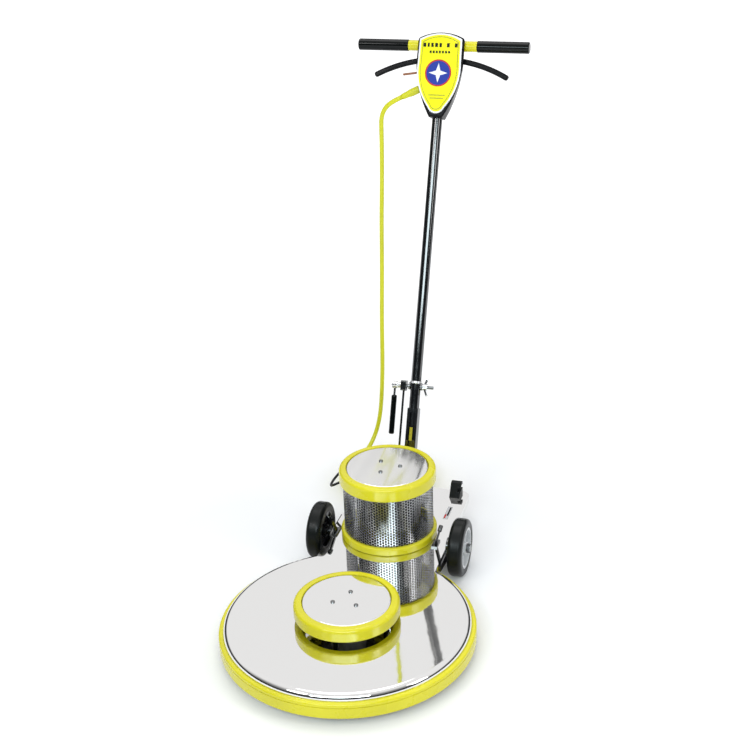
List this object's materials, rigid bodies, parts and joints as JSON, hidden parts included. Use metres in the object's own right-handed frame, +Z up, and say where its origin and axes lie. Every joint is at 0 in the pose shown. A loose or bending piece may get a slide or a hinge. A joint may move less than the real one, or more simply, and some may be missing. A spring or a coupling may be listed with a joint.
{
  "type": "floor scrubber machine",
  "caption": "Belt-driven floor burnisher: round polished deck with yellow bumper, rear motor tower, two wheels, tilting handle with switch levers and coiled mains cord.",
  "frame": {"origin": "the pad's axis at floor level", "axes": "+Z up, -Y the front of the deck, +Y towards the operator's handle, +X to the right of somebody facing the front"},
  "size_m": [0.572, 1.2697, 1.1726],
  "materials": {
    "mirror_steel": "mirror-polished stainless sheet",
    "yellow_trim": "glossy moulded vinyl",
    "cast_grey": "as-cast",
    "bearing_steel": "ground",
    "black_rubber": "moulded, slightly shiny",
    "screw_steel": "zinc plated",
    "black_paint": "gloss enamel",
    "pulley_metal": "turned",
    "driver_plastic": "moulded",
    "pad_fibre": "non-woven fibre",
    "belt_rubber": "ribbed",
    "screen_steel": "perforated bright sheet",
    "magnet_iron": "bare",
    "wheel_hub_paint": "silver enamel",
    "chrome_fittings": "plated",
    "grip_rubber": "glossy dipped vinyl",
    "yellow_paint": "gloss enamel",
    "housing_plastic": "moulded",
    "face_label": "printed overlay without lettering",
    "safety_plastic": "moulded",
    "cord_yellow": "smooth jacket",
    "cable_black": "smooth jacket"
  },
  "bodies": {
    "chassis": {"deck_shell": "mirror_steel", "bumper_ring": "yellow_trim", "spindle_housing": "cast_grey", "ball_bearings": "bearing_steel", "cap_posts": "black_rubber", "cap_ring": "yellow_trim", "cap_disc": "mirror_steel", "cover_screws": "screw_steel", "belt_guard": "black_paint", "drive_belt": "belt_rubber", "motor_base_ring": "yellow_trim", "motor_screen": "screen_steel", "motor_top_ring": "yellow_trim", "motor_top_disc": "mirror_steel", "motor_can": "black_paint", "field_magnets": "magnet_iron", "brush_holders": "cast_grey", "rectifier": "driver_plastic", "wheel_brackets": "black_paint", "stub_axles": "screw_steel", "stay_bars": "black_paint", "rear_blocks": "black_rubber", "handle_bracket": "black_paint", "bracket_bolts": "screw_steel", "pivot_bolt": "screw_steel", "motor_cable": "cable_black", "cord_tube": "cord_yellow", "cord_coil": "cord_yellow", "cord_tail": "cord_yellow", "plug": "cord_yellow"},
    "pad_drive": {"spindle_shaft": "bearing_steel", "pad_pulley": "pulley_metal", "pad_driver": "driver_plastic", "floor_pad": "pad_fibre"},
    "rotor": {"motor_shaft": "bearing_steel", "armature": "magnet_iron", "cooling_fan": "driver_plastic", "motor_pulley": "pulley_metal"},
    "left_wheel": {"wheel_left_hub": "wheel_hub_paint", "wheel_left_tyre": "black_rubber"},
    "right_wheel": {"wheel_right_hub": "wheel_hub_paint", "wheel_right_tyre": "black_rubber"},
    "handle": {"handle_socket": "black_paint", "handle_tube": "black_paint", "cross_bolt": "screw_steel", "handle_bar": "yellow_paint", "grips": "grip_rubber", "housing_front": "housing_plastic", "housing_back": "housing_plastic", "face_plate": "face_label", "power_switch": "driver_plastic", "lever_pins": "screw_steel", "strain_relief": "cord_yellow"},
    "release": {"release_lever": "chrome_fittings", "release_grip": "grip_rubber"},
    "lock_rod": {"lock_rod": "black_paint"},
    "wing_nut": {"wing_nut": "chrome_fittings"},
    "lever_left": {"lever_left": "housing_plastic"},
    "lever_right": {"lever_right": "housing_plastic"},
    "safety_lever": {"safety_lever": "safety_plastic"}
  },
  "joints": [
    {"name": "pad_spin", "type": "hinge", "parent": "chassis", "child": "pad_drive", "pos_m": [0, 0, 0.06], "axis": [0, 0, 1], "continuous": true},
    {"name": "motor_spin", "type": "hinge", "parent": "chassis", "child": "rotor", "pos_m": [-0.008, 0.37, 0.06], "axis": [0, 0, 1], "continuous": true},
    {"name": "left_wheel_spin", "type": "hinge", "parent": "chassis", "child": "left_wheel", "pos_m": [-0.176, 0.34, 0.07], "axis": [1, 0, 0], "continuous": true},
    {"name": "right_wheel_spin", "type": "hinge", "parent": "chassis", "child": "right_wheel", "pos_m": [0.176, 0.34, 0.07], "axis": [1, 0, 0], "continuous": true},
    {"name": "handle_tilt", "type": "hinge", "parent": "chassis", "child": "handle", "pos_m": [0, 0.5077, 0.0953], "axis": [-1, 0, 0], "range_deg": [-20, 37]},
    {"name": "release_lever_turn", "type": "hinge", "parent": "handle", "child": "release", "pos_m": [-0.054, 0.61632, 0.3512], "axis": [1, 0, 0], "range_deg": [0, 60], "stiffness_Nm_per_rad": 0.6, "springref_deg": -17.19},
    {"name": "lock_rod_slide", "type": "slide", "parent": "handle", "child": "lock_rod", "axis": [0, 0.3907, 0.9205], "range_m": [0, 0.005]},
    {"name": "wing_nut_turn", "type": "hinge", "parent": "handle", "child": "wing_nut", "pos_m": [0.025, 0.61632, 0.3512], "axis": [1, 0, 0], "continuous": true},
    {"name": "left_lever_squeeze", "type": "hinge", "parent": "handle", "child": "lever_left", "pos_m": [-0.04, 0.9375, 1.10786], "axis": [0, 0.9205, -0.3907], "range_deg": [0, 14], "stiffness_Nm_per_rad": 2, "springref_deg": -11.46},
    {"name": "right_lever_squeeze", "type": "hinge", "parent": "handle", "child": "lever_right", "pos_m": [0.04, 0.9375, 1.10786], "axis": [0, -0.9205, 0.3907], "range_deg": [0, 14], "stiffness_Nm_per_rad": 2, "springref_deg": -11.46},
    {"name": "safety_lever_press", "type": "hinge", "parent": "handle", "child": "safety_lever", "pos_m": [-0.043, 0.92422, 1.07656], "axis": [0, 0.9205, -0.3907], "range_deg": [0, 12], "stiffness_Nm_per_rad": 0.3, "springref_deg": -11.46}
  ],
  "couplings": [
    {"joint": "motor_spin", "follows": "pad_spin", "ratio": 1.6},
    {"joint": "lock_rod_slide", "follows": "release_lever_turn", "m_per_rad": 0.004751}
  ]
}
